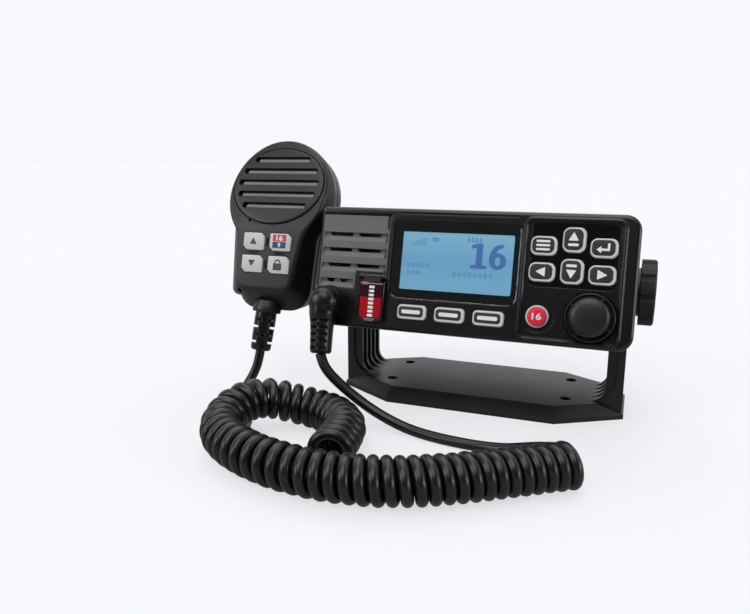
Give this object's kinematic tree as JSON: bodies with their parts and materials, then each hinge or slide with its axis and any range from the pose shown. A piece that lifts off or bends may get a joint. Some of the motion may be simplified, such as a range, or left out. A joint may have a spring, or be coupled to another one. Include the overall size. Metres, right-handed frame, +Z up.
{
  "type": "vhf marine radio",
  "caption": "Fixed-mount marine VHF radio on a tilting gimbal bracket, with a fist microphone on a side hanger and a curly cord.",
  "frame": {"origin": "centre of the four bolt holes in the bracket's base, on the surface that the bracket stands on", "axes": "+X along the radio's width to its right seen from the front, +Y to the back, +Z up"},
  "size_m": [0.2461, 0.2288, 0.1472],
  "materials": {
    "bracket_black": "satin",
    "case_black": "satin",
    "matte_black": "fine grain",
    "gloss_black": "gloss",
    "cord_rubber": "satin",
    "red_plastic": "gloss",
    "key_grey": "satin",
    "steel": "satin",
    "circuit_board": "satin",
    "display": "satin"
  },
  "bodies": {
    "bracket": {"mounting_bracket": "bracket_black", "mic_hanger": "bracket_black", "plug_lead": "cord_rubber", "coil_cord": "cord_rubber", "mic_lead": "cord_rubber"},
    "radio": {"front_bezel": "matte_black", "speaker_grille": "matte_black", "speaker_basket": "steel", "speaker_cone": "matte_black", "display_window": "gloss_black", "lcd_module": "display", "keypad_panel": "gloss_black", "keypad_mat": "cord_rubber", "front_board": "circuit_board", "encoder": "steel", "hinge_pin": "steel", "mic_socket": "steel", "plug_boot": "cord_rubber", "face_gasket": "cord_rubber", "case": "case_black", "heat_sink": "case_black", "main_board": "circuit_board", "rf_shield": "steel", "antenna_socket": "steel", "power_gland": "cord_rubber", "case_screws": "steel", "side_washers": "cord_rubber"},
    "microphone": {"mic_front_shell": "matte_black", "mic_back_shell": "matte_black", "mic_grille": "matte_black", "mic_speaker": "steel", "mic_board": "circuit_board", "mic_capsule": "matte_black", "hanger_button": "steel", "mic_screws": "steel", "strain_relief": "cord_rubber"},
    "left_clamp": {"left_clamp_knob": "matte_black", "left_stud": "steel"},
    "right_clamp": {"right_clamp_knob": "matte_black", "right_stud": "steel"},
    "dial": {"rotary_knob": "matte_black", "encoder_shaft": "steel"},
    "cover": {"distress_cover": "red_plastic"},
    "push_to_talk": {"ptt_bar": "matte_black"},
    "soft_key_left_body": {"soft_key_left": "matte_black"},
    "soft_key_middle_body": {"soft_key_middle": "matte_black"},
    "soft_key_right_body": {"soft_key_right": "matte_black"},
    "clear_key_body": {"clear_key": "gloss_black"},
    "up_key_body": {"up_key": "gloss_black"},
    "enter_key_body": {"enter_key": "gloss_black"},
    "left_key_body": {"left_key": "gloss_black"},
    "down_key_body": {"down_key": "gloss_black"},
    "right_key_body": {"right_key": "gloss_black"},
    "red_key_body": {"red_key": "red_plastic"},
    "distress_key_body": {"distress_key": "red_plastic"},
    "mic_key_up_body": {"mic_key_up": "key_grey"},
    "mic_key_down_body": {"mic_key_down": "key_grey"},
    "mic_key_hi_lo_body": {"mic_key_hi_lo": "key_grey"},
    "mic_key_lock_body": {"mic_key_lock": "key_grey"}
  },
  "joints": [
    {"name": "radio_tilt", "type": "hinge", "parent": "bracket", "child": "radio", "pos_m": [0, 0, 0.0668], "axis": [-1, 0, 0], "range_deg": [-19, 15], "deforming": ["plug_lead"]},
    {"name": "microphone_lift", "type": "slide", "parent": "bracket", "child": "microphone", "axis": [0, 0.2487, 0.9686], "range_m": [0, 0.025], "deforming": ["mic_lead"]},
    {"name": "left_clamp_turn", "type": "hinge", "parent": "bracket", "child": "left_clamp", "pos_m": [-0.089, 0, 0.0668], "axis": [-1, 0, 0], "continuous": true},
    {"name": "right_clamp_turn", "type": "hinge", "parent": "bracket", "child": "right_clamp", "pos_m": [0.088, 0, 0.0668], "axis": [1, 0, 0], "continuous": true},
    {"name": "dial_turn", "type": "hinge", "parent": "radio", "child": "dial", "pos_m": [0.0625, -0.06055, 0.06418], "axis": [0, 0.9686, -0.2487], "continuous": true},
    {"name": "cover_lift", "type": "hinge", "parent": "radio", "child": "cover", "pos_m": [-0.0484, -0.05418, 0.07575], "axis": [-1, 0, 0], "range_deg": [0, 100], "stiffness_Nm_per_rad": 0.006, "springref_deg": -17.19},
    {"name": "push_to_talk_press", "type": "slide", "parent": "microphone", "child": "push_to_talk", "axis": [1, 0, 0], "range_m": [0, 0.0018], "stiffness_N_per_m": 600, "springref_m": -0.0004},
    {"name": "soft_key_left_press", "type": "slide", "parent": "radio", "child": "soft_key_left_body", "axis": [0, 0.9686, -0.2487], "range_m": [0, 0.001], "stiffness_N_per_m": 500, "springref_m": -0.0003},
    {"name": "soft_key_middle_press", "type": "slide", "parent": "radio", "child": "soft_key_middle_body", "axis": [0, 0.9686, -0.2487], "range_m": [0, 0.001], "stiffness_N_per_m": 500, "springref_m": -0.0003},
    {"name": "soft_key_right_press", "type": "slide", "parent": "radio", "child": "soft_key_right_body", "axis": [0, 0.9686, -0.2487], "range_m": [0, 0.001], "stiffness_N_per_m": 500, "springref_m": -0.0003},
    {"name": "clear_key_press", "type": "slide", "parent": "radio", "child": "clear_key_body", "axis": [0, 0.9686, -0.2487], "range_m": [0, 0.001], "stiffness_N_per_m": 500, "springref_m": -0.0003},
    {"name": "up_key_press", "type": "slide", "parent": "radio", "child": "up_key_body", "axis": [0, 0.9686, -0.2487], "range_m": [0, 0.001], "stiffness_N_per_m": 500, "springref_m": -0.0003},
    {"name": "enter_key_press", "type": "slide", "parent": "radio", "child": "enter_key_body", "axis": [0, 0.9686, -0.2487], "range_m": [0, 0.001], "stiffness_N_per_m": 500, "springref_m": -0.0003},
    {"name": "left_key_press", "type": "slide", "parent": "radio", "child": "left_key_body", "axis": [0, 0.9686, -0.2487], "range_m": [0, 0.001], "stiffness_N_per_m": 500, "springref_m": -0.0003},
    {"name": "down_key_press", "type": "slide", "parent": "radio", "child": "down_key_body", "axis": [0, 0.9686, -0.2487], "range_m": [0, 0.001], "stiffness_N_per_m": 500, "springref_m": -0.0003},
    {"name": "right_key_press", "type": "slide", "parent": "radio", "child": "right_key_body", "axis": [0, 0.9686, -0.2487], "range_m": [0, 0.001], "stiffness_N_per_m": 500, "springref_m": -0.0003},
    {"name": "red_key_press", "type": "slide", "parent": "radio", "child": "red_key_body", "axis": [0, 0.9686, -0.2487], "range_m": [0, 0.001], "stiffness_N_per_m": 500, "springref_m": -0.0003},
    {"name": "distress_key_press", "type": "slide", "parent": "radio", "child": "distress_key_body", "axis": [0, 0.9686, -0.2487], "range_m": [0, 0.001], "stiffness_N_per_m": 500, "springref_m": -0.0003},
    {"name": "mic_key_up_press", "type": "slide", "parent": "microphone", "child": "mic_key_up_body", "axis": [0, 0.9686, -0.2487], "range_m": [0, 0.0008], "stiffness_N_per_m": 500, "springref_m": -0.0003},
    {"name": "mic_key_down_press", "type": "slide", "parent": "microphone", "child": "mic_key_down_body", "axis": [0, 0.9686, -0.2487], "range_m": [0, 0.0008], "stiffness_N_per_m": 500, "springref_m": -0.0003},
    {"name": "mic_key_hi_lo_press", "type": "slide", "parent": "microphone", "child": "mic_key_hi_lo_body", "axis": [0, 0.9686, -0.2487], "range_m": [0, 0.0008], "stiffness_N_per_m": 500, "springref_m": -0.0003},
    {"name": "mic_key_lock_press", "type": "slide", "parent": "microphone", "child": "mic_key_lock_body", "axis": [0, 0.9686, -0.2487], "range_m": [0, 0.0008], "stiffness_N_per_m": 500, "springref_m": -0.0003}
  ]
}
